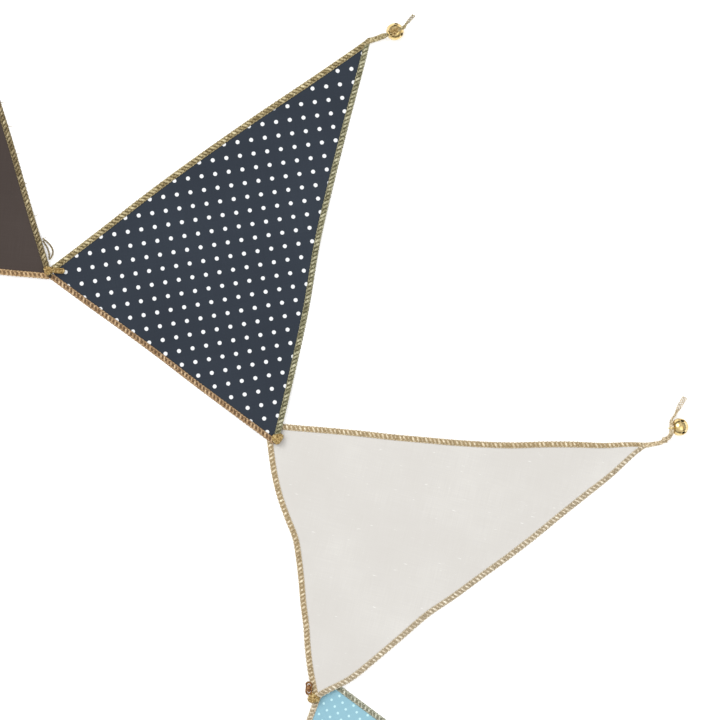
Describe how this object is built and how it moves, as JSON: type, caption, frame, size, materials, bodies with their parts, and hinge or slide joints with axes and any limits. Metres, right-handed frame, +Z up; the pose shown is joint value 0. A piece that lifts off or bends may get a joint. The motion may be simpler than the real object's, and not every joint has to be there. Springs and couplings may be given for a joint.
{
  "type": "fabric bunting",
  "caption": "Part of a string of triangular cloth pennants in brown, navy with dots, off-white and light blue, edged in gold thread, with small bells at the tips.",
  "frame": {"origin": "under the middle of the box round the pennants, their edging, knots and loops (tails and bells at the tips left out), on the table", "axes": "+Z up from the table, +X to the picture's right and +Y to its top; the arc bulges towards -X and -Y"},
  "size_m": [0.5476, 0.6432, 0.013],
  "materials": {
    "brown_cloth": "plain woven cotton, matt brown",
    "navy_cloth": "navy cotton with round white dots on a slanted square lattice",
    "white_cloth": "off-white, slightly sheer cotton with pale slubs",
    "blue_cloth": "light blue cotton with small pale dots",
    "gold_thread": "metallic gold thread, overlocked or chained",
    "bell_gold": "thin polished gold-coloured metal"
  },
  "bodies": {
    "root": {"start_loop": "gold_thread", "brown_panel": "brown_cloth", "brown_base_edging": "gold_thread", "brown_far_edging": "gold_thread", "brown_near_edging": "gold_thread", "brown_tail": "gold_thread", "brown_bell": "bell_gold", "brown_tip_knot": "gold_thread", "navy_panel": "navy_cloth", "navy_base_edging": "gold_thread", "navy_far_edging": "gold_thread", "navy_near_edging": "gold_thread", "navy_tail": "gold_thread", "navy_bell": "bell_gold", "navy_tip_knot": "gold_thread", "white_panel": "white_cloth", "white_base_edging": "gold_thread", "white_far_edging": "gold_thread", "white_near_edging": "gold_thread", "white_tail": "gold_thread", "white_bell": "bell_gold", "white_tip_knot": "gold_thread", "end_loop": "gold_thread", "blue_panel": "blue_cloth", "blue_base_edging": "gold_thread", "blue_far_edging": "gold_thread", "blue_near_edging": "gold_thread", "blue_tail": "gold_thread", "blue_bell": "bell_gold", "blue_tip_knot": "gold_thread", "brown_navy_knot": "gold_thread", "navy_white_knot": "gold_thread", "white_blue_knot": "gold_thread", "brown_stray_loop": "gold_thread", "brown_navy_fold": "gold_thread", "white_wrapped_ring": "gold_thread"}
  },
  "joints": []
}
